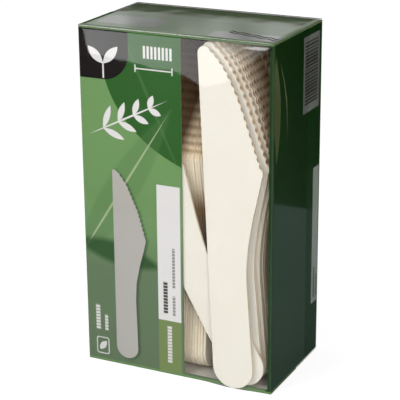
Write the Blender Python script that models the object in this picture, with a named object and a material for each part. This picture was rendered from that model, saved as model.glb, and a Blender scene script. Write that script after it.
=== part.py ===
"""Retail pack of one hundred die-cut paper knives in a windowed carton, shrink-wrapped in clear film.

Metres, +Z up. The pack stands upright on the XY plane, the origin is the middle of the carton's
footprint on the film's underside, and the window faces -Y. Depth is counted from the carton's
front face towards +Y, and every knife is drawn in the XZ plane with its back edge on X = 0.
"""

import math
import random

import bmesh
import bpy
from mathutils import Matrix, Vector

MM = 0.001

# One knife, stamped from thick board
KNIFE_LENGTH = 158 * MM
KNIFE_THICKNESS = 1.3 * MM
BLADE_WIDTH = 28.4 * MM
BLADE_LENGTH = 55 * MM  # tip to the widest point
TIP_RADIUS = 3.2 * MM
BELLY_RADIUS = 5 * MM  # the rounded corner between the teeth and the neck
NECK_WIDTH = 18.5 * MM
NECK_FROM_TIP = 106 * MM
GRIP_WIDTH = 19.6 * MM  # also the diameter of the round end
TOOTH_COUNT = 16
TOOTH_DEPTH = 0.75 * MM
TOOTH_LEAN = 20  # degrees, how far each valley points down the blade
BELLY_ARC = (-28, 18)  # degrees, from the throat to the first tooth
TIP_ARC = (40, 180)  # degrees, from the last tooth to the back edge
THROAT_PULLS = (0.4, 0.82)  # shares of the way from the neck to the belly
THROAT_SHARES = (0.0, 0.3, 0.6)  # places of the outline's points along the throat
EDGE_PULLS = ((0.3, 1.0, 0.4), (0.75, 6.9, 3.0))  # share, mm across and mm up off the chord
END_POINTS = 9  # points on the round end

# How the hundred knives are sorted in the carton
RIGHT_STACK = 36  # faces to the window, teeth to the right
RIGHT_STACK_GAP = 0.133 * MM
RIGHT_STACK_TILT = 3.3  # degrees, tops towards the middle of the pack
RIGHT_STACK_GROUP = 2  # knives that were pushed sideways together
SIDE_STACK = 42  # edge on to the window, teeth to the front
SIDE_STACK_LOOSE = 6  # knives of the side stack that the window shows one by one
SIDE_STACK_GAP = 0.1 * MM
SIDE_STACK_TILT = 4.5  # degrees, tops away from the window
REAR_STACK = 10  # in each of the two columns behind the side stack
REAR_STACK_GAP = 0.05 * MM
BUNDLE = 6  # most pressed-together knives in one bundle
LATERAL_PLAY = 2.1 * MM  # free width beside the tilted knives of the right stack
FRONT_TILT = 2.9  # degrees, top towards the middle of the pack
FRONT_KNIFE_SHIFT = 1.2 * MM  # of the front knife, to the left of the right stack's zone
LEANING_PLAY = 3.4 * MM  # between the leaning knife's round end and the right panel
STACK_PLAY = 0.6 * MM
FANNED_GROUPS = (0.04, 0.62, 0.96)  # places of the first groups across the right stack's play
GROUP_SPREAD = (0.35, 0.75)  # of the right stack's play, for a group and then for each knife in it
KNIFE_SPREAD = 0.04
TILT_SPREAD = 0.2  # degrees, for a group
REST_GAP = 0.3 * MM  # between a knife and what it rests on
FLAT_GAP = 0.1 * MM  # between flat faces that lie on each other

# Folding carton
BOARD = 0.5 * MM
END_LAYERS = 3  # of board, that close the top and the bottom
HEADROOM = 0.4 * MM
GLUE_FLAP = 14 * MM
DUST_FLAP = 27 * MM
COVER_FLAP = 30 * MM  # outer closure flap, from the front fold
FOLD_RADIUS = 0.4 * MM
WINDOW_WIDTH = 42 * MM
WINDOW_SIDE_RIM = 1.6 * MM
WINDOW_TOP_RIM = 1.5 * MM
WINDOW_BOTTOM_RIM = 2.1 * MM

# Shrink film
FILM_THICKNESS = 0.05 * MM
VENT_RADIUS = 1.5 * MM
VENT_SIDES = 12
FLAT_WITHIN = 0.02  # degrees, between film facets that count as one

CUTTER_REACH = 5 * MM  # how far a cutter stands out of the board

def on_circle(centre, radius, arc, points):
    """Points on an arc in the knife's plane, from its first to its last angle in degrees."""
    start, end = arc
    step = (end - start) / (points - 1)
    angles = [math.radians(start + i * step) for i in range(points)]
    return [centre + radius * Vector((math.cos(a), math.sin(a))) for a in angles]


def on_curve(start, pull_a, pull_b, end, share):
    """A point on a cubic curve, where share runs from 0 to 1."""
    rest = 1 - share
    return (rest**3 * start + 3 * rest**2 * share * pull_a
            + 3 * rest * share**2 * pull_b + share**3 * end)


def knife_outline():
    """The stamped outline, anticlockwise from the round end: across is X and up is Y."""
    grip_radius = GRIP_WIDTH / 2
    blade_foot = KNIFE_LENGTH - BLADE_LENGTH
    neck = Vector((NECK_WIDTH, KNIFE_LENGTH - NECK_FROM_TIP))
    belly = Vector((BLADE_WIDTH - BELLY_RADIUS, blade_foot))
    tip = Vector((TIP_RADIUS, KNIFE_LENGTH - TIP_RADIUS))

    points = on_circle(Vector((grip_radius, grip_radius)), grip_radius, (180, 360), END_POINTS)
    belly_arc = on_circle(belly, BELLY_RADIUS, BELLY_ARC, 3)
    bend, throat = (neck.lerp(belly_arc[0], pull) for pull in THROAT_PULLS)
    for share in THROAT_SHARES:
        points.append(on_curve(neck, Vector((NECK_WIDTH, bend.y)), throat, belly_arc[0], share))
    points += belly_arc

    edge_start = belly_arc[-1]
    tip_arc = on_circle(tip, TIP_RADIUS, TIP_ARC, 4)
    edge_end = tip_arc[0]
    pull_a, pull_b = (edge_start.lerp(edge_end, share) + Vector((across, up)) * MM
                      for share, across, up in EDGE_PULLS)
    lean = math.radians(TOOTH_LEAN)
    into_blade = Vector((-math.cos(lean), -math.sin(lean)))
    for tooth in range(TOOTH_COUNT):
        valley = on_curve(edge_start, pull_a, pull_b, edge_end, (tooth + 0.5) / TOOTH_COUNT)
        points.append(valley + TOOTH_DEPTH * into_blade)
        points.append(on_curve(edge_start, pull_a, pull_b, edge_end, (tooth + 1) / TOOTH_COUNT))
    return points + tip_arc[1:]


OUTLINE = knife_outline()


def turned(points, degrees):
    """The outline's points after the knife tilts in its own plane, its top towards +X."""
    cosine = math.cos(math.radians(degrees))
    sine = math.sin(math.radians(degrees))
    return [Vector((p.x * cosine + p.y * sine, p.y * cosine - p.x * sine)) for p in points]


def span(points):
    """How wide a set of outline points is along X."""
    return max(p.x for p in points) - min(p.x for p in points)


right_pitch = KNIFE_THICKNESS + RIGHT_STACK_GAP
side_pitch = KNIFE_THICKNESS + SIDE_STACK_GAP
rear_pitch = KNIFE_THICKNESS + REAR_STACK_GAP

# Depths from the carton's front face
stacks_front = BOARD + 2 * FLAT_GAP + KNIFE_THICKNESS + STACK_PLAY
side_reach = span(turned(OUTLINE, -SIDE_STACK_TILT)) + STACK_PLAY
rear_depth = stacks_front + side_reach + STACK_PLAY
stacks_depth = max(stacks_front + RIGHT_STACK * right_pitch, rear_depth + REAR_STACK * rear_pitch)
carton_depth = stacks_depth + 2 * FLAT_GAP + 2 * BOARD

# Widths from the carton's left face
rear_column = BLADE_WIDTH + STACK_PLAY / 2
left_zone = max(SIDE_STACK * side_pitch, 2 * rear_column)
left_inside = BOARD + FLAT_GAP
right_zone_start = left_inside + left_zone + STACK_PLAY
right_zone = span(turned(OUTLINE, -RIGHT_STACK_TILT - TILT_SPREAD)) + LATERAL_PLAY
carton_width = right_zone_start + right_zone + FLAT_GAP + BOARD

# Heights from the film's underside
carton_base = FLAT_GAP + FILM_THICKNESS
floor = carton_base + END_LAYERS * BOARD
ceiling = floor + REST_GAP + KNIFE_LENGTH + HEADROOM
carton_top = ceiling + END_LAYERS * BOARD

front_y = -carton_depth / 2
left_x = -carton_width / 2


def material(name, colour, roughness, alpha=1.0):
    made = bpy.data.materials.new(name)
    made.use_nodes = True
    shader = made.node_tree.nodes["Principled BSDF"]
    shader.inputs["Base Color"].default_value = (*colour, 1.0)
    shader.inputs["Roughness"].default_value = roughness
    shader.inputs["Metallic"].default_value = 0.0
    shader.inputs["Alpha"].default_value = alpha
    return made


PRINTED_BOARD = material("printed_board", (0.05, 0.21, 0.07), 0.4)
KNIFE_BOARD = material("knife_board", (0.84, 0.79, 0.68), 0.75)
CLEAR_FILM = material("clear_film", (0.95, 0.96, 0.96), 0.05, alpha=0.15)


def add_object(name, mesh, finish):
    made = bpy.data.objects.new(name, mesh)
    bpy.context.scene.collection.objects.link(made)
    if finish and not mesh.materials:
        mesh.materials.append(finish)
    return made


def mesh_from(bm, name):
    mesh = bpy.data.meshes.new(name)
    bmesh.ops.recalc_face_normals(bm, faces=bm.faces)
    bm.to_mesh(mesh)
    bm.free()
    return mesh


def box_mesh(name, low, high, fold_radius=0.0):
    """A closed box between two corners, with its edges rounded over if a radius is given."""
    bm = bmesh.new()
    size = high - low
    bmesh.ops.create_cube(bm, size=1.0, matrix=Matrix.Translation((low + high) / 2)
                          @ Matrix.Diagonal((*size, 1.0)))
    if fold_radius:
        bmesh.ops.bevel(bm, geom=bm.edges[:], offset=fold_radius, segments=2, profile=0.5,
                        affect="EDGES")
    return mesh_from(bm, name)


def knife_mesh(name, thickness):
    """The outline as a flat plate whose faces lie at Y = 0 and Y = thickness."""
    bm = bmesh.new()
    face = bm.faces.new([bm.verts.new((p.x, 0, p.y)) for p in OUTLINE])
    grown = bmesh.ops.extrude_face_region(bm, geom=[face])["geom"]
    moved = [part for part in grown if isinstance(part, bmesh.types.BMVert)]
    bmesh.ops.translate(bm, vec=(0, thickness, 0), verts=moved)
    return mesh_from(bm, name)


def in_carton(across, depth, height):
    """A point given from the carton's left face, its front face and the film's underside."""
    return Vector((left_x + across, front_y + depth, height))


def cut(target, name, low, high):
    """Takes the box between two corners, in carton measures, out of the target."""
    cutter = add_object(name, box_mesh(name, in_carton(*low), in_carton(*high)), None)
    cutter.hide_render = True
    cutter.display_type = "WIRE"
    boolean = target.modifiers.new(name, "BOOLEAN")
    boolean.object = cutter


def make_carton():
    """One folded and glued sheet: three layers of board close each end, two lie at the glue flap."""
    carton = add_object(
        "carton",
        box_mesh("carton", in_carton(0, 0, carton_base),
                 in_carton(carton_width, carton_depth, carton_top), FOLD_RADIUS),
        PRINTED_BOARD)
    inner_right = carton_width - BOARD
    glued_back = carton_depth - 2 * BOARD
    cut(carton, "inside_cutter", (BOARD, BOARD, floor), (inner_right, glued_back, ceiling))
    cut(carton, "dust_flap_cutter", (BOARD + DUST_FLAP, 2 * BOARD, floor - BOARD),
        (inner_right - DUST_FLAP, glued_back - BOARD, ceiling + BOARD))
    cut(carton, "back_panel_cutter", (BOARD + GLUE_FLAP, carton_depth / 2, floor),
        (inner_right, carton_depth - BOARD, ceiling))
    cut(carton, "window_cutter",
        (carton_width - WINDOW_SIDE_RIM - WINDOW_WIDTH, -CUTTER_REACH,
         carton_base + WINDOW_BOTTOM_RIM),
        (carton_width - WINDOW_SIDE_RIM, 2 * BOARD, carton_top - WINDOW_TOP_RIM))
    for name, low, high in (("top_step_cutter", carton_top - BOARD, carton_top + CUTTER_REACH),
                            ("base_step_cutter", carton_base - CUTTER_REACH,
                             carton_base + BOARD)):
        cut(carton, name, (-CUTTER_REACH, COVER_FLAP, low),
            (carton_width + CUTTER_REACH, carton_depth + CUTTER_REACH, high))


def place_knife(name, mesh, tilt, turn, spot, lean=0.0):
    """Tilts a knife in its plane, leans it about X, turns it about Z and puts it on its spot."""
    knife = add_object(name, mesh, KNIFE_BOARD)
    rotation = (Matrix.Rotation(math.radians(turn), 4, "Z")
                @ Matrix.Rotation(math.radians(lean), 4, "X")
                @ Matrix.Rotation(math.radians(tilt), 4, "Y"))
    knife.matrix_world = Matrix.Translation(spot) @ rotation


def facing_window(name, mesh, tilt, zone, share, depth, lean=0.0, height=floor + REST_GAP):
    """Stands a knife with its face to the window: share is its place across the zone's play."""
    shape = turned(OUTLINE, tilt)
    low = min(p.x for p in shape)
    across = zone[0] + share * (zone[1] - zone[0] - span(shape)) - low
    up = height - min(p.y for p in shape)
    place_knife(name, mesh, tilt, 0, in_carton(across, depth, up), lean)


def edge_to_window(name, mesh, tilt, across, share):
    """Stands a knife with its teeth to the window: share is its place in the side stack's play."""
    shape = turned(OUTLINE, tilt)
    high = max(p.x for p in shape)
    play = side_reach - span(shape)
    up = floor + REST_GAP - min(p.y for p in shape)
    place_knife(name, mesh, tilt, -90, in_carton(across, stacks_front + share * play + high, up))


def bundle_sizes(count):
    """Splits a run of knives into bundles as even as possible, none over BUNDLE."""
    bundles = math.ceil(count / BUNDLE)
    return [count * (i + 1) // bundles - count * i // bundles for i in range(bundles)]


def widest_fit(room):
    """The largest tilt, in whole quarters of a degree, at which a knife fits in a width."""
    fits = [quarter / 4 for quarter in range(4 * 90) if span(turned(OUTLINE, -quarter / 4)) <= room]
    return max(fits, default=0.0)


front_lean_height = carton_top - WINDOW_TOP_RIM - carton_base - WINDOW_BOTTOM_RIM
front_lean = math.degrees(math.atan2(KNIFE_THICKNESS + 2 * FLAT_GAP, front_lean_height))
front_end_height = carton_base + FLAT_GAP + REST_GAP / 2
front_depth = -FLAT_GAP - KNIFE_THICKNESS  # the round end lies over the window's lower rim


def make_loose_knives(single):
    """The two knives in front: one over the window's lower rim, and one leaning corner to corner."""
    zone = (right_zone_start - FRONT_KNIFE_SHIFT, carton_width - WINDOW_SIDE_RIM)
    facing_window("front_knife", single, -FRONT_TILT, zone, 0.0, front_depth,
                  lean=-front_lean, height=front_end_height)
    inside = (left_inside, carton_width - BOARD - LEANING_PLAY)
    facing_window("leaning_knife", single, -widest_fit(inside[1] - inside[0]), inside, 0.5,
                  BOARD + 2 * FLAT_GAP)


def make_right_stack(single, chance):
    """Knives with their faces to the window, pushed about in small groups, the first fanned out."""
    zone = (right_zone_start, carton_width - BOARD - FLAT_GAP)
    for i in range(RIGHT_STACK):
        number, first = divmod(i, RIGHT_STACK_GROUP)
        if first == 0:
            fanned = number < len(FANNED_GROUPS)
            group = FANNED_GROUPS[number] if fanned else chance.uniform(*GROUP_SPREAD)
            tilt = -RIGHT_STACK_TILT + chance.uniform(-TILT_SPREAD, TILT_SPREAD)
        share = group + chance.uniform(-KNIFE_SPREAD, KNIFE_SPREAD)
        facing_window(f"right_knife_{i + 1:02d}", single, tilt, zone, share,
                      stacks_front + i * right_pitch)


def make_side_stack(single, chance):
    """Knives edge on to the window: pressed bundles first, then the ones the window shows."""
    across = left_inside
    for i, size in enumerate(bundle_sizes(SIDE_STACK - SIDE_STACK_LOOSE)):
        thick = size * side_pitch - SIDE_STACK_GAP
        mesh = knife_mesh(f"side_bundle_{size}", thick)
        edge_to_window(f"side_bundle_{i + 1:02d}", mesh, -SIDE_STACK_TILT, across,
                       chance.random())
        across += size * side_pitch
    for i in range(SIDE_STACK_LOOSE):
        tilt = -SIDE_STACK_TILT + chance.uniform(-TILT_SPREAD, TILT_SPREAD) / 2
        edge_to_window(f"side_knife_{i + 1:02d}", single, tilt, across, chance.random())
        across += side_pitch


def make_rear_stacks(chance):
    """Two columns of bundles behind the side stack, faces to the window."""
    for side, start in (("left", left_inside), ("right", left_inside + rear_column)):
        depth = rear_depth
        for i, size in enumerate(bundle_sizes(REAR_STACK)):
            mesh = knife_mesh(f"rear_bundle_{size}", size * rear_pitch - REAR_STACK_GAP)
            facing_window(f"rear_{side}_bundle_{i + 1}", mesh, 0.0, (start, start + rear_column),
                          chance.random(), depth)
            depth += size * rear_pitch


def make_film():
    """Taut film: the smallest convex skin round the carton and the knife end that stands proud."""
    bm = bmesh.new()
    for across in (-FLAT_GAP, carton_width + FLAT_GAP):
        for depth in (-FLAT_GAP, carton_depth + FLAT_GAP):
            for height in (FILM_THICKNESS, carton_top + FLAT_GAP):
                bm.verts.new(in_carton(across, depth, height))
    knife = bpy.data.objects["front_knife"]
    belly = max(OUTLINE, key=lambda p: p.x)
    for p in [*OUTLINE[:END_POINTS], belly, OUTLINE[-2]]:
        bm.verts.new(knife.matrix_world @ Vector((p.x, -FLAT_GAP, p.y)))
    hull = bmesh.ops.convex_hull(bm, input=bm.verts)
    bmesh.ops.delete(bm, geom=hull["geom_interior"], context="VERTS")
    bmesh.ops.dissolve_limit(bm, angle_limit=math.radians(FLAT_WITHIN), verts=bm.verts, edges=bm.edges)
    bmesh.ops.recalc_face_normals(bm, faces=bm.faces)
    back = max(bm.faces, key=lambda face: face.calc_center_median().y)
    vent_hole(bm, back)
    mesh = bpy.data.meshes.new("film")
    bm.to_mesh(mesh)
    bm.free()
    film = add_object("film", mesh, CLEAR_FILM)
    wall = film.modifiers.new("wall", "SOLIDIFY")
    wall.thickness = FILM_THICKNESS
    wall.offset = 1
    wall.use_even_offset = True


def vent_hole(bm, face):
    """Opens a small round hole in the back face, which lets the air out as the film shrinks."""
    corners = list(face.verts)
    centre = face.calc_center_median()
    bmesh.ops.delete(bm, geom=[face], context="FACES_ONLY")
    ring = []
    for i in range(VENT_SIDES):
        angle = 2 * math.pi * i / VENT_SIDES
        ring.append(bm.verts.new(centre + VENT_RADIUS * Vector((math.cos(angle), 0,
                                                                math.sin(angle)))))
    rim = [bm.edges.new((ring[i - 1], ring[i])) for i in range(VENT_SIDES)]
    border = [bm.edges.get((corners[i - 1], corners[i])) for i in range(len(corners))]
    bmesh.ops.triangle_fill(bm, edges=rim + border, use_beauty=True)
    inner = [f for f in bm.faces if all(v in ring for v in f.verts)]
    bmesh.ops.delete(bm, geom=inner, context="FACES_ONLY")
    bmesh.ops.recalc_face_normals(bm, faces=bm.faces)


def main():
    for old in list(bpy.data.objects):
        bpy.data.objects.remove(old)
    chance = random.Random(149)
    single = knife_mesh("knife", KNIFE_THICKNESS)
    make_carton()
    make_loose_knives(single)
    make_right_stack(single, chance)
    make_side_stack(single, chance)
    make_rear_stacks(chance)
    bpy.context.view_layer.update()
    make_film()


main()
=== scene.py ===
"""The looks of a windowed pack of paper knives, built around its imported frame."""

import math

import bmesh
import bpy
from mathutils import Matrix, Quaternion, Vector, noise


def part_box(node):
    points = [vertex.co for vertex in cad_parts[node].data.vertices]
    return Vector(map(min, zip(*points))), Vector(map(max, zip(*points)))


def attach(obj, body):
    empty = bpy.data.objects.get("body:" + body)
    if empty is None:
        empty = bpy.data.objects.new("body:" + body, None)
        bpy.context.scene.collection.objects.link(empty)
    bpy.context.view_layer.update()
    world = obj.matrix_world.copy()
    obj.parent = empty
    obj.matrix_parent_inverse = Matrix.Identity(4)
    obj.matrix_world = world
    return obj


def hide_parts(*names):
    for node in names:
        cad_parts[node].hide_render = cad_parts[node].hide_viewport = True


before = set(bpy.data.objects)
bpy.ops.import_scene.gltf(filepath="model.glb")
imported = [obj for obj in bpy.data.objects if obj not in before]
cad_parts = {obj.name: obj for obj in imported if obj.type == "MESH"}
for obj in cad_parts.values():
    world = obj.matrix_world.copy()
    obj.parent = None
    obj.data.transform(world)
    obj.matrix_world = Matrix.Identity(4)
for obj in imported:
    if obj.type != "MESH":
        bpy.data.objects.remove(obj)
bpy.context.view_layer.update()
MM = 0.001

# Camera
# A long lens a little to the right of the pack and above it, so the pack shows its window, its
# narrow right side and its top.
CAMERA_TARGET = Vector((-0.0012, 0.0, 0.0776))
CAMERA_DISTANCE = 0.6755
CAMERA_AZIMUTH = math.radians(26.18)
CAMERA_ELEVATION = math.radians(18.96)
CAMERA_ROLL = math.radians(-0.47)
CAMERA_LENS = 131.0

bpy.ops.object.select_all(action="DESELECT")
bpy.ops.object.camera_add()
camera = bpy.context.object
camera.name = "photo_camera"
camera.data.lens = CAMERA_LENS
camera.data.sensor_width = 36
camera.data.clip_start = 0.01
camera_back = Vector((math.sin(CAMERA_AZIMUTH) * math.cos(CAMERA_ELEVATION),
                      -math.cos(CAMERA_AZIMUTH) * math.cos(CAMERA_ELEVATION),
                      math.sin(CAMERA_ELEVATION)))
camera.location = CAMERA_TARGET + camera_back * CAMERA_DISTANCE
camera.rotation_mode = "QUATERNION"
camera.rotation_quaternion = (camera_back.to_track_quat("Z", "Y")
                              @ Quaternion((0, 0, 1), CAMERA_ROLL))
bpy.context.scene.camera = camera


# Carton
# One sheet of white-lined folding board, printed on its outside, die-cut with a tall window, folded
# round and glued. Dust flaps, an inner flap and a shorter outer flap close each end.
BOARD = 0.5 * MM
FOLD_RADIUS = 0.45 * MM
OUTER_FLAP = 1.1 * BOARD
COVER_FLAP = 30 * MM
DUST_FLAP = 27 * MM
WINDOW_WIDTH = 42 * MM
WINDOW_SIDE_RIM = 1.6 * MM
WINDOW_TOP_RIM = 1.5 * MM
WINDOW_BOTTOM_RIM = 2.1 * MM
LAYER_GAP = 0.02 * MM

carton_low, carton_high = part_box("carton")
carton_width = (carton_high - carton_low).x
carton_depth = (carton_high - carton_low).y
window_right = carton_high.x - WINDOW_SIDE_RIM
window_left = window_right - WINDOW_WIDTH
window_bottom = carton_low.z + WINDOW_BOTTOM_RIM
window_top = carton_high.z - WINDOW_TOP_RIM


def start_block(name, low, high):
    """Adds a cube between two corners, as the start of a piece, with its place in its mesh."""
    bpy.ops.object.select_all(action="DESELECT")
    bpy.ops.mesh.primitive_cube_add(size=1, location=(Vector(low) + Vector(high)) / 2)
    piece = bpy.context.object
    piece.name = piece.data.name = name
    piece.scale = Vector(high) - Vector(low)
    bpy.ops.object.transform_apply(location=True, rotation=True, scale=True)
    return piece


def pick_faces(piece, test):
    """In edit mode, selects only the faces whose middle and normal pass the test."""
    bpy.ops.mesh.select_mode(type="FACE")
    bpy.ops.mesh.select_all(action="DESELECT")
    shape = bmesh.from_edit_mesh(piece.data)
    for face in shape.faces:
        face.select_set(bool(test(face.calc_center_median(), face.normal)))
    shape.select_flush_mode()
    bmesh.update_edit_mesh(piece.data)


def pick_edges(piece, test):
    """In edit mode, selects only the edges whose two ends pass the test."""
    bpy.ops.mesh.select_mode(type="EDGE")
    bpy.ops.mesh.select_all(action="DESELECT")
    shape = bmesh.from_edit_mesh(piece.data)
    for edge in shape.edges:
        edge.select_set(bool(test(edge.verts[0].co, edge.verts[1].co)))
    shape.select_flush_mode()
    bmesh.update_edit_mesh(piece.data)


def near(value, wanted):
    return abs(value - wanted) < 0.01 * MM


def apply_modifier(piece, kind, **settings):
    """Adds a modifier, sets it and applies it."""
    bpy.ops.object.select_all(action="DESELECT")
    piece.select_set(True)
    bpy.context.view_layer.objects.active = piece
    added = piece.modifiers.new(kind.lower(), kind)
    for key, value in settings.items():
        setattr(added, key, value)
    bpy.ops.object.modifier_apply(modifier=added.name)


def joined(name, pieces):
    """Joins several objects into the first, under one name."""
    bpy.ops.object.select_all(action="DESELECT")
    for piece in pieces:
        piece.select_set(True)
    bpy.context.view_layer.objects.active = pieces[0]
    bpy.ops.object.join()
    pieces[0].name = pieces[0].data.name = name
    return pieces[0]


class Tone:
    """A number or colour of a finish, which takes part in Python expressions."""

    def __init__(self, finish, socket):
        self.finish = finish
        self.socket = socket

    def math(self, operation, *others, clamp=False):
        """One math node, which takes this tone first and then the others."""
        settings = {"operation": operation, "use_clamp": clamp}
        return self.finish.node("ShaderNodeMath", settings, dict(enumerate((self, *others))))

    def __add__(self, other):
        return self.math("ADD", other)

    def __sub__(self, other):
        return self.math("SUBTRACT", other)

    def __rsub__(self, other):
        return self.math("MULTIPLY_ADD", -1, other)

    def __mul__(self, other):
        return self.math("MULTIPLY", other)

    def __truediv__(self, other):
        return self.math("DIVIDE", other)

    def __mod__(self, other):
        return self.math("FLOORED_MODULO", other)

    def __abs__(self):
        return self.math("ABSOLUTE")

    __radd__ = __add__
    __rmul__ = __mul__


class Finish:
    """A material, whose nodes are added one by one."""

    def __init__(self, name):
        self.material = bpy.data.materials.new(name)
        self.material.use_nodes = True
        self.tree = self.material.node_tree
        self.shader = self.tree.nodes["Principled BSDF"]
        self.surface = self.tree.nodes["Material Output"].inputs["Surface"]

    def node(self, kind, settings=None, sockets=None, out=0):
        """Adds a node: its settings first, then the values or links of its sockets."""
        added = self.tree.nodes.new(kind)
        for key, value in (settings or {}).items():
            if key == "stops":
                self.set_stops(added.color_ramp, value)
            else:
                setattr(added, key, value)
        for key, value in (sockets or {}).items():
            self.feed(added.inputs[key], value)
        return Tone(self, added.outputs[out])

    def feed(self, socket, value):
        """Links a tone to a socket, or sets the socket to a plain value."""
        if isinstance(value, Tone):
            self.tree.links.new(value.socket, socket)
        elif isinstance(value, (tuple, list)) and len(value) == 3 and socket.type == "RGBA":
            socket.default_value = (*value, 1)
        else:
            socket.default_value = value

    def set_stops(self, ramp, stops):
        """Sets a ramp's stops, each a place and a grey."""
        while len(ramp.elements) < len(stops):
            ramp.elements.new(0.5)
        for element, (place, grey) in zip(ramp.elements, stops):
            element.position = place
            element.color = (grey, grey, grey, 1)

    def over(self, below, above, share):
        """Lays one colour over another by a share from 0 to 1."""
        return self.node("ShaderNodeMix", {"data_type": "RGBA"},
                         {0: share, 6: below, 7: above}, out=2)

    def places(self):
        """The piece's own X, Y and Z in millimetres."""
        spot = self.node("ShaderNodeTexCoord", out="Object")
        parts = self.tree.nodes.new("ShaderNodeSeparateXYZ")
        self.tree.links.new(spot.socket, parts.inputs[0])
        return [Tone(self, output) * 1000 for output in parts.outputs]

    def noise(self, scale, detail=2.0, stretch=(1, 1, 1)):
        """Cloudy noise in the piece's own space, with a scale for each metre."""
        spot = self.node("ShaderNodeTexCoord", out="Object")
        mapped = self.node("ShaderNodeMapping", sockets={"Vector": spot, "Scale": stretch})
        return self.node("ShaderNodeTexNoise", sockets={"Vector": mapped, "Scale": scale,
                                                        "Detail": detail})

    def set(self, **values):
        """Sets or links sockets of the main shader, with spaces in their names as underscores."""
        for key, value in values.items():
            self.feed(self.shader.inputs[key.replace("_", " ")], value)

    def bump(self, height, distance, strength=1.0):
        """Raises the surface in shading alone, by a height from 0 to 1 over a distance."""
        self.set(Normal=self.node("ShaderNodeBump", sockets={
            "Strength": strength, "Distance": distance, "Height": height}))


ink = Finish("printed_board")
bare = Finish("bare_board")
rim = Finish("cut_board_edge")
PRINTED, BARE, CUT = 0, 1, 2


def board_slots(piece):
    """Gives a piece of board its three finishes: the print, the bare inside and the cut edge."""
    for finish in (ink, bare, rim):
        piece.data.materials.append(finish.material)


# The inner flap closes each end one layer below the outer flap, which lies on it as far as its
# free edge.
ends = Vector((0, 0, BOARD))
walls = start_block("carton_walls", carton_low + ends, carton_high - ends)
cover_line = carton_low.y + COVER_FLAP


def is_wall_fold(a, b):
    """True for every crease of the walls but the two that carry on into the outer flaps."""
    in_front = near(a.y, carton_low.y) and near(b.y, carton_low.y)
    return not (in_front and near(a.z, b.z))


bpy.ops.object.mode_set(mode="EDIT")
pick_edges(walls, is_wall_fold)
bpy.ops.mesh.bevel(offset=FOLD_RADIUS, segments=3, profile=0.5, affect="EDGES")
for spot, facing in (((window_left, 0, 0), (1, 0, 0)), ((window_right, 0, 0), (1, 0, 0)),
                     ((0, 0, window_bottom), (0, 0, 1)), ((0, 0, window_top), (0, 0, 1))):
    pick_faces(walls, lambda middle, normal: normal.y < -0.99)
    bpy.ops.mesh.bisect(plane_co=spot, plane_no=facing)
pick_faces(walls, lambda middle, normal: normal.y < -0.99
           and window_left < middle.x < window_right and window_bottom < middle.z < window_top)
bpy.ops.mesh.delete(type="FACE")
bpy.ops.object.mode_set(mode="OBJECT")


board_slots(walls)
apply_modifier(walls, "SOLIDIFY", thickness=BOARD, offset=-1, use_even_offset=True,
               material_offset=BARE, material_offset_rim=CUT)


def flap(name, low, high):
    """A flap of bare board that lies inside, with its rim cut."""
    made = start_block(name, low, high)
    board_slots(made)
    for face in made.data.polygons:
        face.material_index = BARE if abs(face.normal.z) > 0.9 else CUT
    return made


def outer_flap(name, side, end):
    """An outer flap: it carries on from the front panel over a rounded fold."""
    heights = sorted((end, end + side * OUTER_FLAP))
    made = start_block(name, (carton_low.x, carton_low.y, heights[0]),
                       (carton_high.x, cover_line, heights[1]))
    board_slots(made)
    for face in made.data.polygons:
        printed = face.normal.z * side < -0.9 or face.normal.y < -0.9
        face.material_index = PRINTED if printed else CUT
    bpy.ops.object.mode_set(mode="EDIT")
    pick_edges(made, lambda a, b: near(a.y, carton_low.y) and near(b.y, carton_low.y)
               and near(a.z, end) and near(b.z, end))
    bpy.ops.mesh.bevel(offset=FOLD_RADIUS, segments=3, profile=0.5, affect="EDGES")
    bpy.ops.object.mode_set(mode="OBJECT")
    return made


inner_left, inner_right = carton_low.x + BOARD + LAYER_GAP, carton_high.x - BOARD - LAYER_GAP
inner_front, inner_back = carton_low.y + BOARD + LAYER_GAP, carton_high.y - BOARD - LAYER_GAP
flaps = []
for side, end in ((1, carton_low.z), (-1, carton_high.z)):
    layers = [end + side * (layer * BOARD + LAYER_GAP) for layer in (1, 2, 3)]
    label = "base" if side == 1 else "top"
    spans = ((f"{label}_left_dust_flap", inner_left, inner_left + DUST_FLAP, inner_back, 1),
             (f"{label}_right_dust_flap", inner_right - DUST_FLAP, inner_right, inner_back, 1))
    for name, left, right, back, layer in spans:
        heights = sorted((layers[layer], layers[layer + 1] - side * LAYER_GAP))
        flaps.append(flap(name, (left, inner_front, heights[0]), (right, back, heights[1])))
    flaps.append(outer_flap(f"{label}_outer_flap", side, end))
carton = joined("carton_sheet", [walls] + flaps)
bpy.ops.object.select_all(action="DESELECT")
carton.select_set(True)
bpy.ops.object.shade_smooth_by_angle(angle=math.radians(35))


PRINT_EDGE = 0.22  # millimetres over which a printed edge softens


def inside(depth, soft=PRINT_EDGE):
    """A mask from how deep a place lies inside a shape, in millimetres."""
    return (depth / soft).math("ADD", 0.5, clamp=True)


def lesser(a, b):
    return a.math("MINIMUM", b)


def greater(a, b):
    return a.math("MAXIMUM", b)


def field(u, v, left, right, low, high, radius=0.0):
    """A printed rectangle, with its corners rounded if a radius is given."""
    across = abs(u - (left + right) / 2) - ((right - left) / 2 - radius)
    up = abs(v - (low + high) / 2) - ((high - low) / 2 - radius)
    if not radius:
        return inside(0 - greater(across, up))
    across, up = greater(across, 0.0), greater(up, 0.0)
    return inside(radius - (across * across + up * up).math("SQRT"))


def disc(u, v, middle, radius, soft=PRINT_EDGE):
    """A printed disc."""
    across, up = u - middle[0], v - middle[1]
    return inside(radius - (across * across + up * up).math("SQRT"), soft)


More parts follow.
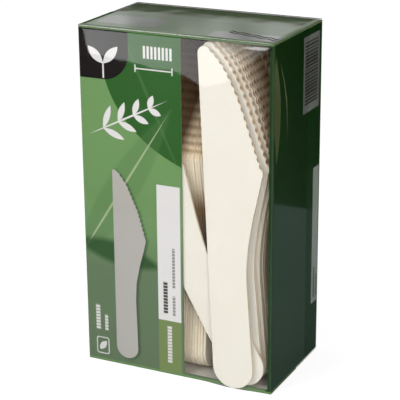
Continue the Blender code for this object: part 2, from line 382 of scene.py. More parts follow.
def blade_of_leaf(u, v, foot, tip, half_width, soft=PRINT_EDGE):
    """A printed leaf from its foot to its tip, pointed at both ends."""
    run = Vector(tip) - Vector(foot)
    along = ((u - foot[0]) * run.x + (v - foot[1]) * run.y) / run.length_squared
    aside = abs((u - foot[0]) * -run.y + (v - foot[1]) * run.x) / run.length
    return inside(along * (1 - along) * (4 * half_width) - aside, soft)


def vein(u, v, foot, tip, thickness):
    """A fine printed line between two places, thinner towards both ends."""
    return blade_of_leaf(u, v, foot, tip, thickness / 2)


PAPER_WHITE = (0.74, 0.72, 0.71)
CHARCOAL = (0.012, 0.009, 0.008)
LIGHT_GREEN = (0.17, 0.325, 0.115)
MID_GREEN = (0.085, 0.2, 0.06)
DEEP_GREEN = (0.028, 0.125, 0.02)
DULL_GREEN = (0.125, 0.185, 0.1)
OLIVE = (0.19, 0.26, 0.09)
SIDE_GREEN = (0.013, 0.05, 0.012)
PRINT_GREY = (0.47, 0.45, 0.42)

x, y, z = ink.places()
across = x - carton_low.x * 1000
depth = y - carton_low.y * 1000
up = z - carton_low.z * 1000
wide, deep, tall = carton_width * 1000, carton_depth * 1000, (carton_high - carton_low).z * 1000


def word_rows(u, v, rows):
    """Rows of plain bars, broken into short blocks, where small type would stand."""
    mask = None
    for left, right, low, high in rows:
        blocks = inside(((v - low) % 1.55) - 0.3, 0.15)
        row = field(u, v, left, right, low, high) * blocks
        mask = row if mask is None else greater(mask, row)
    return mask


FRONT_SHADE = ((0.0, 0.0), (0.3, 0.12), (0.42, 0.75), (0.6, 0.95), (1.0, 1.0))
PALE_VEIN = (0.42, 0.5, 0.3)
DARK_LEAF = (0.014, 0.075, 0.008)
# painted shade for the strip of the front above the window
TOP_STRIP_SHADE = (0.16, 0.17, 0.15)


def front_panel():
    """The front: greens with big leaves, a printed knife, two labels and a charcoal corner."""
    u, v = across, up
    shade = ink.node("ShaderNodeValToRGB", {"stops": FRONT_SHADE}, {0: v / tall})
    colour = ink.over(DULL_GREEN, LIGHT_GREEN, shade)
    colour = ink.over(colour, DEEP_GREEN, blade_of_leaf(u, v, (62, 98), (12, 178), 22))
    colour = ink.over(colour, DEEP_GREEN, blade_of_leaf(u, v, (22, 196), (66, 106), 18))
    colour = ink.over(colour, MID_GREEN, vein(u, v, (50, 98), (20, 164), 1.6) * 0.5)
    colour = ink.over(colour, MID_GREEN, blade_of_leaf(u, v, (-8, 44), (46, 128), 8, 1.5) * 0.35)
    colour = ink.over(colour, PALE_VEIN, vein(u, v, (-6, 47), (44, 125), 1.1) * 0.8)
    colour = ink.over(colour, DARK_LEAF, blade_of_leaf(u, v, (-6, 60), (40, 52), 5.5, 3.0) * 0.85)
    colour = ink.over(colour, CHARCOAL, field(u, v, -20, 25, 138, 184, 13))
    # painted shade: the front's top 1.9 mm, right of about 57 mm, is greyed down
    colour = ink.over(colour, TOP_STRIP_SHADE, inside(v - (tall - 1.9)) * inside(u - 57, 6.0))
    colour = ink.over(colour, SIDE_GREEN, inside(u - (wide - 2.6)))
    return printed_marks(colour, u, v)


def printed_marks(colour, u, v):
    """The marks on the front panel, from the top down."""
    sprout = greater(blade_of_leaf(u, v, (12.2, 145.2), (4.6, 152.6), 2.1),
                     blade_of_leaf(u, v, (12.2, 145.2), (19.8, 153.4), 2.1))
    sprout = greater(sprout, field(u, v, 11.8, 12.6, 138.6, 146))
    colour = ink.over(colour, PAPER_WHITE, sprout)
    strokes = inside(0.55 - abs(((u - 32) % 1.85) - 0.925), 0.2)
    strokes = strokes * field(u, v, 32, 46.8, 149.4, 155)
    stops = greater(field(u, v, 28, 28.6, 142.9, 146.3), field(u, v, 46.2, 46.8, 142.9, 146.3))
    measure = greater(field(u, v, 28.6, 46.2, 144.3, 144.9), stops)
    colour = ink.over(colour, PAPER_WHITE, greater(strokes, measure))
    colour = ink.over(colour, PAPER_WHITE, sprig(u, v))
    return lower_marks(colour, u, v)


SPRIG_FOOT = (4.5, 112.0)
SPRIG_TIP = (43.0, 131.0)
SPRIG_LEAVES = 4


def sprig(u, v):
    """A white sprig: a thin stem with leaves in pairs."""
    foot, tip = Vector(SPRIG_FOOT), Vector(SPRIG_TIP)
    run = tip - foot
    mask = blade_of_leaf(u, v, foot, tip, 0.42)
    for pair in range(SPRIG_LEAVES):
        start = foot + run * (0.18 + 0.2 * pair)
        length = 11.5 - 1.6 * pair
        for turn in (48, -44):
            heading = run.normalized() @ Matrix.Rotation(math.radians(turn), 2)
            mask = greater(mask, blade_of_leaf(u, v, start, start + heading * length, 1.5))
    return mask


KNIFE_PICTURE_FOOT = 3.8
KNIFE_PICTURE_SCALE = 0.586
KNIFE_PICTURE_BACK = 15.3
KNIFE_PICTURE_END = 5.7
KNIFE_PICTURE_WIDTHS = ((0.0, 0.685), (0.1, 0.68), (0.33, 0.65), (0.42, 0.68), (0.52, 0.8),
                        (0.6, 0.93), (0.65, 1.0), (0.8, 0.76), (0.93, 0.43), (0.985, 0.2),
                        (1.0, 0.08))
KNIFE_PICTURE_TOOTH = 2.05


def knife_picture(u, v, soft):
    """The silhouette of a knife that stands upright, as a mask."""
    length, wide_at = 158 * KNIFE_PICTURE_SCALE, 28.4 * KNIFE_PICTURE_SCALE
    ramp = ink.node("ShaderNodeValToRGB", {"stops": KNIFE_PICTURE_WIDTHS},
                    {0: (v - KNIFE_PICTURE_FOOT) / length})
    teeth = (v * (2 * math.pi / KNIFE_PICTURE_TOOTH)).math("SINE")
    toothed = field(u, v, 0, 60, 66.5, 95)
    edge = ramp * wide_at + teeth * toothed * 0.3 + KNIFE_PICTURE_BACK
    middle = (KNIFE_PICTURE_BACK + KNIFE_PICTURE_END, KNIFE_PICTURE_FOOT + KNIFE_PICTURE_END)
    upright = lesser(v - middle[1], KNIFE_PICTURE_FOOT + length - v)
    body = inside(lesser(upright, lesser(u - KNIFE_PICTURE_BACK, edge - u)), soft)
    return greater(body, disc(u, v, middle, KNIFE_PICTURE_END, soft))


LABEL_BLACK = (0.06, 0.06, 0.055)
LABEL_GREY = (0.28, 0.28, 0.26)
PICTURE_SHADOW = (0.02, 0.05, 0.015)


def lower_marks(colour, u, v):
    """The printed knife with its shadow, the two labels and the rows beside the knife."""
    colour = ink.over(colour, PICTURE_SHADOW, knife_picture(u - 1.1, v + 0.3, 2.2) * 0.75)
    tint = ink.over((0.44, 0.42, 0.39), PRINT_GREY, ink.noise(60))
    colour = ink.over(colour, tint, knife_picture(u, v, 0.3))
    colour = ink.over(colour, PAPER_WHITE, field(u, v, 37.8, 49.5, 26.9, 92.3))
    colour = ink.over(colour, OLIVE, field(u, v, 37.8, 49.5, -5, 26.9))
    colour = ink.over(colour, LABEL_BLACK, word_rows(u, v, ((40.5, 42.7, 30.2, 46.1),)))
    grey_rows = ((45.2, 46.6, 29.6, 39.5), (45.2, 46.6, 43.3, 62.8))
    colour = ink.over(colour, LABEL_GREY, word_rows(u, v, grey_rows))
    pale_rows = ((42.3, 44.6, 5.6, 24.2), (4.5, 6.8, 15.8, 28.6), (9.2, 10.9, 15.8, 24.0))
    pale = word_rows(u, v, pale_rows)
    hollow = 1 - field(u, v, 4.9, 10.7, 4.1, 11.7, 0.8)
    frame_mark = field(u, v, 4.4, 11.2, 3.6, 12.2, 1.2) * hollow
    drop = blade_of_leaf(u, v, (6.0, 5.6), (9.8, 10.3), 1.5)
    return ink.over(colour, PAPER_WHITE, greater(greater(pale, frame_mark), drop) * 0.9)


SIDE_TOP_GREEN = (0.003, 0.036, 0.002)
SIDE_LABEL = (0.17, 0.18, 0.16)
SIDE_STRIP = (0.3, 0.33, 0.29)
BAR_PITCH = 1.55


def side_panels():
    """The narrow sides: deep green, with a panel of bars and a strip of small type at the right."""
    u, v = depth, up
    colour = ink.over(SIDE_GREEN, SIDE_TOP_GREEN, inside((v - 112) / 20, 3.0))
    dice = ink.node("ShaderNodeTexWhiteNoise", {"noise_dimensions": "1D"},
                    {"W": (v / BAR_PITCH).math("FLOOR")})
    half_bar = dice * 0.35 + 0.28
    bars = inside(half_bar - abs((v % BAR_PITCH) - BAR_PITCH / 2), 0.1)
    colour = ink.over(colour, SIDE_LABEL, field(u, v, 33.8, 52.4, 122.3, 157.1))
    colour = ink.over(colour, CHARCOAL, bars * field(u, v, 35.6, 50.6, 126, 155))
    colour = ink.over(colour, SIDE_STRIP, field(u, v, 47.2, 60, 26.2, 93.7))
    rows = ((49.4, 51.0, 28.5, 44.0), (52.4, 53.6, 28.5, 40.0))
    return ink.over(colour, LABEL_BLACK, word_rows(u, v, rows))


def left_panel():
    """The left side, which carries one long leaf."""
    u, v = depth, up
    colour = ink.over(MID_GREEN, LIGHT_GREEN, inside((v - 70) / 60, 2.0) * 0.6)
    colour = ink.over(colour, DEEP_GREEN, blade_of_leaf(u, v, (-4, 12), (52, 150), 20))
    return ink.over(colour, LIGHT_GREEN, vein(u, v, (4, 30), (47, 140), 1.0) * 0.7)


def back_panel():
    """The back, with one plain panel of small type."""
    u, v = wide - across, up
    colour = ink.over(MID_GREEN, DEEP_GREEN, blade_of_leaf(u, v, (-10, 96), (104, 158), 20))
    colour = ink.over(colour, LIGHT_GREEN, blade_of_leaf(u, v, (100, -8), (40, 60), 14) * 0.7)
    colour = ink.over(colour, PAPER_WHITE, field(u, v, 12, 62, 18, 92, 3))
    rows = inside(0.55 - abs(((v - 20) % 3.1) - 1.5), 0.3)
    places = ink.node("ShaderNodeCombineXYZ", sockets={
        0: (u / 4.2).math("FLOOR"), 1: ((v - 20) / 3.1).math("FLOOR")})
    words = ink.node("ShaderNodeTexWhiteNoise", {"noise_dimensions": "2D"}, {"Vector": places})
    text = rows * inside(words - 0.22, 0.05) * field(u, v, 16, 58, 23, 82)
    return ink.over(colour, (0.1, 0.12, 0.09), text * 0.85)


OUTER_FLAP_GREEN = (0.16, 0.3, 0.1)
INNER_FLAP_GREEN = (0.23, 0.35, 0.14)


def end_panels():
    """The top and the base: plain green, paler on the inner flap behind the outer one."""
    return ink.over(OUTER_FLAP_GREEN, INNER_FLAP_GREEN, inside(depth - COVER_FLAP * 1000))


colour = end_panels()
at_wall = inside(tall / 2 - 1.2 - abs(up - tall / 2), 0.1)
for reached, panel in ((across - (wide - 1), side_panels), (1 - across, left_panel),
                       (depth - (deep - 1), back_panel), (1 - depth, front_panel)):
    colour = ink.over(colour, panel(), inside(reached, 0.1) * at_wall)
mottle = ink.noise(2600, 3)
colour = ink.over(colour, (0.3, 0.38, 0.25), inside(mottle - 0.72, 0.1) * 0.25)
fold_reach = FOLD_RADIUS * 1000


def edge_of(*spans):
    """A mask along the folds where two of the given sides meet."""
    return inside(lesser(*spans), 0.5)


near_side = abs(across - wide / 2) - (wide / 2 - fold_reach)
near_face = abs(depth - deep / 2) - (deep / 2 - fold_reach)
near_end = abs(up - tall / 2) - (tall / 2 - fold_reach)
folds = greater(edge_of(near_side, near_face), edge_of(near_face, near_end))
scuffs = ink.noise(420, 4) * 0.9 + 0.1
colour = ink.over(colour, (0.3, 0.42, 0.25), folds * scuffs * 0.15)
# painted shade: the top face is darker along its front and right edges
top_edge_shade = inside(greater(1.3 - depth, across - (wide - 1)), 0.6) * inside(up - (tall - 1), 0.3)
colour = ink.over(colour, (0.12, 0.15, 0.1), top_edge_shade * 0.8)
# paler along the top front fold, left of about 62 mm: wear, and a painted highlight
top_fold_wear_and_highlight = edge_of(near_face, up - (tall - fold_reach)) * inside(deep / 2 - depth)
colour = ink.over(colour, (0.4, 0.45, 0.37), top_fold_wear_and_highlight * scuffs * inside(62 - across, 2.0))
ink.set(Base_Color=colour, Roughness=ink.noise(900) * 0.12 + 0.34, Specular_IOR_Level=0.35)
ink.bump(ink.noise(1500, 4), 0.03 * MM, 0.5)

fleck = inside(bare.noise(2200, 4) - 0.6, 0.15) * 0.6
board = bare.over((0.66, 0.64, 0.59), (0.5, 0.47, 0.41), fleck)
# the right panel's inside is in the shade of its own window rim
shaded = inside(bare.places()[0] - 45)
bare.set(Base_Color=bare.over(board, (0.34, 0.27, 0.18), shaded), Roughness=0.85)
bare.bump(bare.noise(1800, 4), 0.05 * MM)

cut_board = rim.over((0.2, 0.26, 0.13), (0.13, 0.18, 0.08), rim.noise(1500))
rim.set(Base_Color=cut_board, Roughness=0.9)

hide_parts("carton")
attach(carton, "root")


# Knives
# A hundred knives, stamped from thick cream paper board and pressed flat. The back is straight, the
# blade has rounded teeth, and the cut rim shows the plies. Bundles of the frame are single knives.
KNIFE_LENGTH = 158 * MM
KNIFE_THICKNESS = 1.3 * MM
BLADE_WIDTH = 28.4 * MM
BLADE_LENGTH = 55 * MM
TIP_RADIUS = 3.2 * MM
BELLY_RADIUS = 5 * MM
NECK_WIDTH = 18.5 * MM
NECK_FROM_TIP = 106 * MM
GRIP_RADIUS = 9.8 * MM
TOOTH_COUNT = 16
TOOTH_DEPTH = 0.75 * MM
TOOTH_LEAN = math.radians(20)
TOOTH_POINTS = 6
BELLY_ARC = (-28, 18)
TIP_ARC = (40, 180)
THROAT_PULLS = (0.4, 0.82)
EDGE_PULLS = ((0.3, 1.0, 0.4), (0.75, 6.9, 3.0))
PRESSED_EDGE = 0.12 * MM


def arc(middle, radius, start, end, points):
    """Points on an arc, with its angles in degrees."""
    angles = [math.radians(start + (end - start) * i / (points - 1)) for i in range(points)]
    return [Vector(middle) + radius * Vector((math.cos(a), math.sin(a))) for a in angles]


def curve_point(start, pull_a, pull_b, end, share):
    """A point on a cubic curve, where share runs from 0 to 1."""
    rest = 1 - share
    return (rest**3 * start + 3 * rest**2 * share * pull_a
            + 3 * rest * share**2 * pull_b + share**3 * end)


def knife_outline():
    """The stamped outline, anticlockwise from the round end, with the back on X = 0, and the
    places along its teeth, each with how deep it lies in a valley, from 0 to 1."""
    neck = Vector((NECK_WIDTH, KNIFE_LENGTH - NECK_FROM_TIP))
    belly = (BLADE_WIDTH - BELLY_RADIUS, KNIFE_LENGTH - BLADE_LENGTH)
    points = arc((GRIP_RADIUS, GRIP_RADIUS), GRIP_RADIUS, 180, 360, 25)
    belly_arc = arc(belly, BELLY_RADIUS, *BELLY_ARC, 7)
    bend, throat = (neck.lerp(belly_arc[0], pull) for pull in THROAT_PULLS)
    bend.x = NECK_WIDTH
    points += [curve_point(neck, bend, throat, belly_arc[0], i / 10) for i in range(10)]
    points += belly_arc
    tip_arc = arc((TIP_RADIUS, KNIFE_LENGTH - TIP_RADIUS), TIP_RADIUS, *TIP_ARC, 10)
    start, end = belly_arc[-1], tip_arc[0]
    pulls = [start.lerp(end, share) + Vector((aside, up)) * MM for share, aside, up in EDGE_PULLS]
    into_blade = -Vector((math.cos(TOOTH_LEAN), math.sin(TOOTH_LEAN)))
    teeth = []
    for i in range(1, TOOTH_COUNT * TOOTH_POINTS):
        share = i / TOOTH_POINTS
        sunk = abs(math.sin(math.pi * share)) ** 0.8
        points.append(curve_point(start, *pulls, end, share / TOOTH_COUNT)
                      + TOOTH_DEPTH * sunk * into_blade)
        teeth.append((points[-1], sunk))
    return points + tip_arc, teeth


knife_points, tooth_places = knife_outline()


def stamped_knife():
    """The mesh of one knife as stamped: back on X = 0, up along Y, thickness astride Z = 0."""
    bpy.ops.object.select_all(action="DESELECT")
    bpy.ops.mesh.primitive_circle_add(vertices=len(knife_points), fill_type="NGON")
    knife = bpy.context.object
    for vertex, point in zip(knife.data.vertices, knife_points):
        vertex.co = (point.x, point.y, -KNIFE_THICKNESS / 2)
    bpy.ops.object.mode_set(mode="EDIT")
    bpy.ops.mesh.select_all(action="SELECT")
    bpy.ops.mesh.extrude_region_move(TRANSFORM_OT_translate={"value": (0, 0, KNIFE_THICKNESS)})
    pick_edges(knife, lambda a, b: near(a.z, b.z))
    bpy.ops.mesh.bevel(offset=PRESSED_EDGE, segments=2, profile=0.5, affect="EDGES")
    bpy.ops.mesh.select_all(action="SELECT")
    bpy.ops.mesh.normals_make_consistent(inside=False)
    pick_faces(knife, lambda middle, normal: abs(normal.z) > 0.99)
    bpy.ops.mesh.region_to_loop()
    bpy.ops.mesh.mark_sharp()
    bpy.ops.object.mode_set(mode="OBJECT")
    bpy.ops.object.shade_smooth()
    mesh = knife.data.copy()
    bpy.data.objects.remove(knife)
    return mesh


def valley_at(spot):
    """How deep in a valley between two teeth the nearest place of the outline lies, from 0 to 1."""
    nearest = min(tooth_places, key=lambda place: (place[0] - spot.xy).length_squared)
    return nearest[1]


knife_mesh = stamped_knife()
ply = knife_mesh.attributes.new("ply", "FLOAT", "POINT")
tooth = knife_mesh.attributes.new("tooth", "FLOAT", "POINT")
teeth_from, teeth_to = KNIFE_LENGTH - BLADE_LENGTH, KNIFE_LENGTH - 2 * TIP_RADIUS
for vertex in knife_mesh.vertices:
    ply.data[vertex.index].value = vertex.co.z / KNIFE_THICKNESS + 0.5
    toothed = teeth_from < vertex.co.y < teeth_to and vertex.co.x > 2 * TIP_RADIUS
    tooth.data[vertex.index].value = 0.4 + 0.6 * valley_at(vertex.co) if toothed else 0.0
FACE, RIM = 0, 1


def pressed_face(name):
    """The finish of a face: cream board, a little cloudy, with a few darker fibres."""
    made = Finish(name)
    cream = made.over((0.8, 0.76, 0.665), (0.84, 0.81, 0.73), made.noise(45, 3))
    fibres = made.noise(900, 5, (1, 1, 0.25))
    cream = made.over(cream, (0.68, 0.62, 0.5), inside(fibres - 0.68, 0.12) * 0.2)
    made.set(Base_Color=cream, Roughness=0.72, Specular_IOR_Level=0.25)
    made.bump(made.noise(900, 3), 0.03 * MM, 0.35)
    return made, cream


def cut_rim(name, teeth, valley_shade):
    """The finish of a cut rim: fine plies, with painted shade in browner teeth and brown hollows
    between them.
    """
    made = Finish(name)
    across_rim = made.node("ShaderNodeAttribute", {"attribute_name": "ply"}, out="Fac")
    plies = (across_rim * (6 * math.pi)).math("SINE")
    tan = made.over((0.8, 0.67, 0.48), (0.9, 0.82, 0.66), plies * 0.35 + 0.5)
    tan = made.over(tan, (0.64, 0.48, 0.3), inside(made.noise(700, 4) - 0.6, 0.2) * 0.3)
    valley = made.node("ShaderNodeAttribute", {"attribute_name": "tooth"}, out="Fac")
    # painted shade: the teeth browner, and browner still deep between them
    tan = made.over(tan, teeth, inside(valley - 0.2, 0.3))
    tan = made.over(tan, valley_shade, inside(valley - 0.88, 0.2) * 0.85)
    made.set(Base_Color=tan, Roughness=0.9, Specular_IOR_Level=0.15)
    made.bump(made.noise(1600, 4), 0.04 * MM, 0.6)
    return made, tan


def sunk_in_shade(made, colour):
    """Paints shade on the side stack's blades, deep behind the window: browner near 73 mm up,
    darker to the tips.
    """
    spot_x, _, spot_z = made.places()
    colour = made.over(colour, (0.34, 0.17, 0.06), inside(13 - abs(spot_z - 73), 10.0) * 0.75)
    made.set(Base_Color=made.over(colour, (0.1, 0.045, 0.012),
                                  inside(spot_z - 122 + (5 - spot_x) * 4, 16.0) * 0.88))
    return made


knife_face, _ = pressed_face("knife_board")
# the last two colours are the painted shade of the teeth and of the hollows between them
knife_rim, _ = cut_rim("knife_cut_rim", (0.94, 0.76, 0.56), (0.5, 0.33, 0.18))
# the side stack's knives: the same finishes, with painted shade
deep_face = sunk_in_shade(*pressed_face("deep_knife_board"))
deep_rim = sunk_in_shade(*cut_rim("deep_cut_rim", (0.82, 0.66, 0.45), (0.5, 0.35, 0.19)))


def standing_place(node):
    """A knife or bundle of the frame: its foot on the back, its across, depth and up, and how
    thick it is. The back is the largest facet of its rim, with the rim's long edge running up."""
    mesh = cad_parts[node].data
    spots = [vertex.co for vertex in mesh.vertices]
    low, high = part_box(node)
    flat_along = 0 if (high - low).x < (high - low).y else 1
    back = max((face for face in mesh.polygons if abs(face.normal[flat_along]) < 0.5),
               key=lambda face: face.area)
    a, b, c = (spots[i] for i in back.vertices)
    up = sorted((a - b, b - c, c - a), key=lambda run: run.length)[1].normalized()
    up = up if up.z > 0 else -up
    across = -back.normal.normalized()
    depth = up.cross(across)
    depths = [spot.dot(depth) for spot in spots]
    foot = min(spot.dot(up) for spot in spots)
    corner = across * a.dot(across) + depth * min(depths) + up * foot
    return corner, across, depth, up, max(depths) - min(depths)


knife_nodes = [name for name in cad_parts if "knife" in name or "bundle" in name]
KNIFE_PITCH = 1.375 * MM
for node in sorted(knife_nodes):
    foot, across_way, depth_way, up_way, thick = standing_place(node)
    count = max(1, round(thick / KNIFE_PITCH))
    spare = thick - count * KNIFE_THICKNESS
    for i in range(count):
        step = i * (KNIFE_THICKNESS + (spare / (count - 1) if count > 1 else 0))
        turn = Matrix((across_way, up_way, -depth_way)).transposed()
        middle = foot + depth_way * (step + KNIFE_THICKNESS / 2)
        mesh = knife_mesh.copy()
        mesh.transform(Matrix.Translation(middle) @ turn.to_4x4())
        name = node if count == 1 else f"{node}_{i + 1}"
        knife = bpy.data.objects.new(f"paper_{name}", mesh)
        bpy.context.scene.collection.objects.link(knife)
        for finish in (deep_face, deep_rim) if "side" in node else (knife_face, knife_rim):
            mesh.materials.append(finish.material)
        for face in mesh.polygons:
            face.material_index = FACE if abs(face.normal.dot(depth_way)) > 0.8 else RIM
        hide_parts(node)
        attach(knife, "root")


# Film
# A clear shrink film, welded round the whole carton and drawn tight by heat. It bulges over the end
# of the front knife, ripples a little between the folds and keeps one weld line up the right side.
FILM_GAP = 0.09 * MM
FILM_RADIUS = 0.6 * MM
FILM_CELL = 2.0 * MM
RIPPLE = 0.03 * MM
TENT_REACH = 5.0 * MM
FILM_CLEARANCE = 0.06 * MM
FILM_SHEEN = 1.8
SINGLE_FILM = 1.2
DOUBLE_FILM = 1.7
TUCK_SHEEN = 9
WELD_SHEEN = 3
DENSEST_FILM = 0.9
SEAM_DEPTH = 39.5
# pleats of the right side: depth and height of head and foot, half width, bow and turn
PLEATS = (((2.5, 156.0), (4.0, 107.0), 3.6, 1.5, 0.12),
          ((3.5, 157.0), (13.5, 110.0), 1.1, 6.0, 0.1))

gap = Vector((FILM_GAP, FILM_GAP, FILM_GAP))
skin_low, skin_high = carton_low - gap, carton_high + gap
film = start_block("film_skin", skin_low, skin_high)
bpy.ops.object.mode_set(mode="EDIT")
bpy.ops.mesh.select_all(action="SELECT")
bpy.ops.mesh.bevel(offset=FILM_RADIUS, segments=3, profile=0.5, affect="EDGES")
for axis in range(3):
    long_enough = 5 * FILM_RADIUS
    pick_edges(film, lambda a, b: abs((a - b)[axis]) > long_enough
               and abs((a - b)[axis]) > 0.99 * (a - b).length)
    span = skin_high[axis] - skin_low[axis] - 2 * FILM_RADIUS
    bpy.ops.mesh.subdivide(number_cuts=round(span / FILM_CELL))
bpy.ops.mesh.select_all(action="SELECT")
bpy.ops.mesh.remove_doubles(threshold=0.001 * MM)
bpy.ops.mesh.normals_make_consistent(inside=False)
bpy.ops.object.mode_set(mode="OBJECT")

knife_foot, knife_across, knife_depth, knife_up, _ = standing_place("front_knife")


def outside_knife(spot):
    """How far a place in the knife's plane lies outside its outline."""
    inside_it = False
    nearest = 1.0
    for a, b in zip(knife_points, knife_points[1:] + knife_points[:1]):
        run, start = b - a, spot - a
        share = min(max(start.dot(run) / run.length_squared, 0), 1)
        nearest = min(nearest, (start - run * share).length)
        if (a.y > spot.y) != (b.y > spot.y) and start.x < run.x * start.y / run.y:
            inside_it = not inside_it
    return 0.0 if inside_it else nearest


for vertex in film.data.vertices:
    spot = vertex.co.copy()
    ripple = noise.noise(spot * 40) + 0.3 * noise.noise(spot * 110 + Vector((3, 1, 7)))
    vertex.co = spot - vertex.normal * RIPPLE * (0.5 + 0.5 * ripple)
    if spot.y < carton_low.y:
        # how far the knife's face stands in front of this place on the carton's front
        proud = (knife_foot - spot).dot(knife_depth) / knife_depth.y
        reach = spot.y + proud - FILM_CLEARANCE
        if reach < vertex.co.y:
            from_foot = spot - knife_foot
            outside = outside_knife(Vector((from_foot.dot(knife_across), from_foot.dot(knife_up))))
            vertex.co.y += (reach - vertex.co.y) * math.exp(-(outside / TENT_REACH) ** 1.3)
bpy.ops.object.select_all(action="DESELECT")
film.select_set(True)
bpy.context.view_layer.objects.active = film
bpy.ops.object.shade_smooth()

clear = Finish("clear_film")
facing = clear.node("ShaderNodeLayerWeight", sockets={"Blend": 0.5}, out="Facing")
skim = facing.math("POWER", 5) * 0.96 + 0.04
film_x, film_y, film_z = clear.places()
aside, inward, height = (film_x - carton_low.x * 1000, film_y - carton_low.y * 1000,
                         film_z - carton_low.z * 1000)
at_right, at_top = inside(aside - wide, 0.1), inside(height - tall, 0.1)
at_front = inside(0 - inward, 0.1)

# behind the weld line of the right side the film is single, and it mirrors less
sheen = FILM_SHEEN - at_right * inside(inward - SEAM_DEPTH, 0.5) * SINGLE_FILM
# where the ends are welded the film lies double, and a few pleats turn its reflections aside
patches = greater(field(aside, inward, 62, 96, 1.2, 13.5, 2), field(aside, inward, 4, 34, 8, 24, 4))
sheen = sheen + at_top * patches * DOUBLE_FILM
wave = (aside * 0.9).math("SINE")
weld = 0.5 - abs(abs(inward - 34 + aside * 0.3 + wave * 0.5) - 1.3)
weld = at_top * inside(weld) * inside(aside - 68) * inside(94 - aside)
turned = 0
for head, foot, half_width, bow, turn in PLEATS:
    from_middle = (height - (head[1] + foot[1]) / 2) / ((head[1] - foot[1]) / 2)
    bent = inward - bow + from_middle * from_middle * bow
    turned = blade_of_leaf(bent, height, head, foot, half_width, 1.0) * turn + turned
# the tuck under the top fold, at the window's upper right corner
tuck = at_front * blade_of_leaf(aside, height, (80, 158.6), (95.4, 159.2), 0.7, 0.5)
sheen = sheen + tuck * TUCK_SHEEN + weld * WELD_SHEEN
lean = clear.node("ShaderNodeCombineXYZ", sockets={1: at_right * turned * -1 + weld * 0.12})
plain = clear.node("ShaderNodeNewGeometry", out="Normal")
leaned = clear.node("ShaderNodeVectorMath", {"operation": "ADD"}, {0: plain, 1: lean})
leaned = clear.node("ShaderNodeVectorMath", {"operation": "NORMALIZE"}, {0: leaned})
clear.set(Base_Color=(1, 1, 1), Metallic=1.0, Roughness=0.03,
          Alpha=lesser(skim * sheen, DENSEST_FILM))
clear.set(Normal=clear.node("ShaderNodeBump", sockets={
    "Strength": 0.2, "Distance": 0.1 * MM, "Height": clear.noise(60, 1), "Normal": leaned}))
film.data.materials.append(clear.material)
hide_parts("film")
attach(film, "root")


# Floor and light
# A white floor and one soft key light, high at the left of the camera. Panels that only the film
# mirrors stand at the front left and at the back left, and so does a sheet of paper on the floor.
FLOOR_SHEET = 0.215
FRONT_PANEL_Y = -0.33
FRONT_PANEL_CORNERS = ((-0.228, 0.115), (-0.222, 0.068), (-0.131, 0.0585), (-0.109, 0.067),
                       (-0.08, 0.087), (-0.04, 0.115))
KEY_SPOT = (-0.7, -0.98, 0.8)
FILL_SPOT = (0.76, -0.8, 0.42)
KEY_POWER = 10.2
FILL_POWER = 5.9
SKY = 0.44
MIRRORED_SKY = 0.01
BACK_PANEL = ((-1.2, 1.0, 0.39), (0.3, 1.0, 0.39), (0.3, 1.0, 1.2), (-1.2, 1.0, 1.2))
SIDE_CARD = ((0.19, 0.2, 0.0), (0.32, 0.2, 0.0), (0.32, 0.2, 0.14), (0.19, 0.2, 0.14))

bpy.ops.object.select_all(action="DESELECT")
bpy.ops.mesh.primitive_plane_add(size=12, location=(0, 0, 0))
floor = bpy.context.object
floor.name = "floor"
pale = Finish("pale_floor")
seen = pale.node("ShaderNodeLightPath", out="Is Camera Ray")
mirrored = pale.node("ShaderNodeLightPath", out="Is Glossy Ray")
_, floor_y, _ = pale.places()
sheet = inside(FLOOR_SHEET * 1000 - abs(floor_y), 4)
dark = pale.over((0.01, 0.01, 0.01), (0.14, 0.17, 0.18), sheet)
lit = pale.over((0.75, 0.75, 0.75), (0.35, 0.35, 0.35), seen)
pale.set(Base_Color=pale.over(lit, dark, mirrored), Roughness=1.0, Specular_IOR_Level=0.0,
         Emission_Color=pale.over((0, 0, 0), (0.82, 0.82, 0.82), seen), Emission_Strength=1.0)
floor.data.materials.append(pale.material)


def mirror_panel(name, corners, glow):
    """A bright panel in the XZ plane, which only the film's reflections show."""
    bpy.ops.object.select_all(action="DESELECT")
    bpy.ops.mesh.primitive_circle_add(vertices=len(corners), fill_type="NGON")
    panel = bpy.context.object
    panel.name = panel.data.name = name
    for vertex, (aside, along, high) in zip(panel.data.vertices, corners):
        vertex.co = (aside, along, high)
    panel.data.materials.append(glow.material)
    panel.visible_camera = panel.visible_diffuse = panel.visible_shadow = False
    panel.visible_transmission = False


def glowing(name, low, high, shares):
    """An emissive finish between two colours, by a share."""
    made = Finish(name)
    made.set(Base_Color=(0, 0, 0), Specular_IOR_Level=0.0, Emission_Strength=1.0,
             Emission_Color=made.over(low, high, shares(made)))
    return made


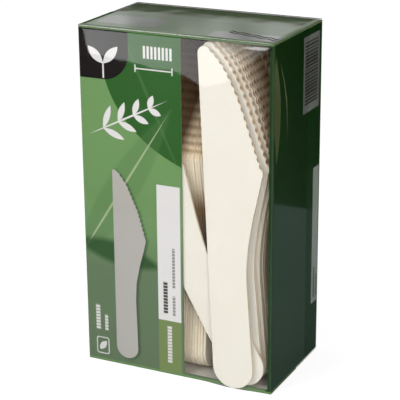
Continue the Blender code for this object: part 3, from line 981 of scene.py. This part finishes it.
front_glow = glowing("front_glow", (0.9,) * 3, (2.35,) * 3,
                     lambda made: (made.places()[0] + 80).math("DIVIDE", -140, clamp=True))
mirror_panel("front_panel", [(x, FRONT_PANEL_Y, z) for x, z in FRONT_PANEL_CORNERS], front_glow)
back_glow = glowing("back_glow", (0.2,) * 3, (0.42,) * 3,
                    lambda made: inside(made.noise(11, 1) - 0.55, 0.25))
side_glow = glowing("side_glow", (0.1, 0.1, 0.04), (0.24, 0.25, 0.13),
                    lambda made: inside(made.noise(18, 2) - 0.5, 0.3))
mirror_panel("side_card", SIDE_CARD, side_glow)
mirror_panel("back_panel", BACK_PANEL, back_glow)

world = bpy.data.worlds.new("studio")
bpy.context.scene.world = world
world.use_nodes = True
tree = world.node_tree
ground = tree.nodes["Background"]
path = tree.nodes.new("ShaderNodeLightPath")
soft = tree.nodes.new("ShaderNodeMix")
soft.data_type = "FLOAT"
soft.inputs[2].default_value = SKY
soft.inputs[3].default_value = 1.0
tree.links.new(path.outputs["Is Camera Ray"], soft.inputs[0])
dull = tree.nodes.new("ShaderNodeMix")
dull.data_type = "FLOAT"
tree.links.new(path.outputs["Is Glossy Ray"], dull.inputs[0])
tree.links.new(soft.outputs[0], dull.inputs[2])
dull.inputs[3].default_value = MIRRORED_SKY
tree.links.new(dull.outputs[0], ground.inputs["Strength"])
ground.inputs["Color"].default_value = (1, 1, 1, 1)


def lamp(name, spot, aim, size, power, seen_in_gloss=True):
    """A soft lamp at a spot, turned to its aim, with its width and height."""
    light = bpy.data.lights.new(name, "AREA")
    light.shape = "RECTANGLE"
    light.size, light.size_y = size
    light.energy = power
    holder = bpy.data.objects.new(name, light)
    holder.location = spot
    holder.rotation_euler = (Vector(aim) - Vector(spot)).to_track_quat("-Z", "Y").to_euler()
    holder.visible_camera = False
    holder.visible_glossy = seen_in_gloss
    bpy.context.scene.collection.objects.link(holder)


lamp("key_lamp", KEY_SPOT, (0, 0, 0.08), (0.9, 0.9), KEY_POWER)
lamp("fill_lamp", FILL_SPOT, (0, 0, 0.08), (0.6, 0.6), FILL_POWER, False)

bpy.context.scene.view_settings.view_transform = "Standard"
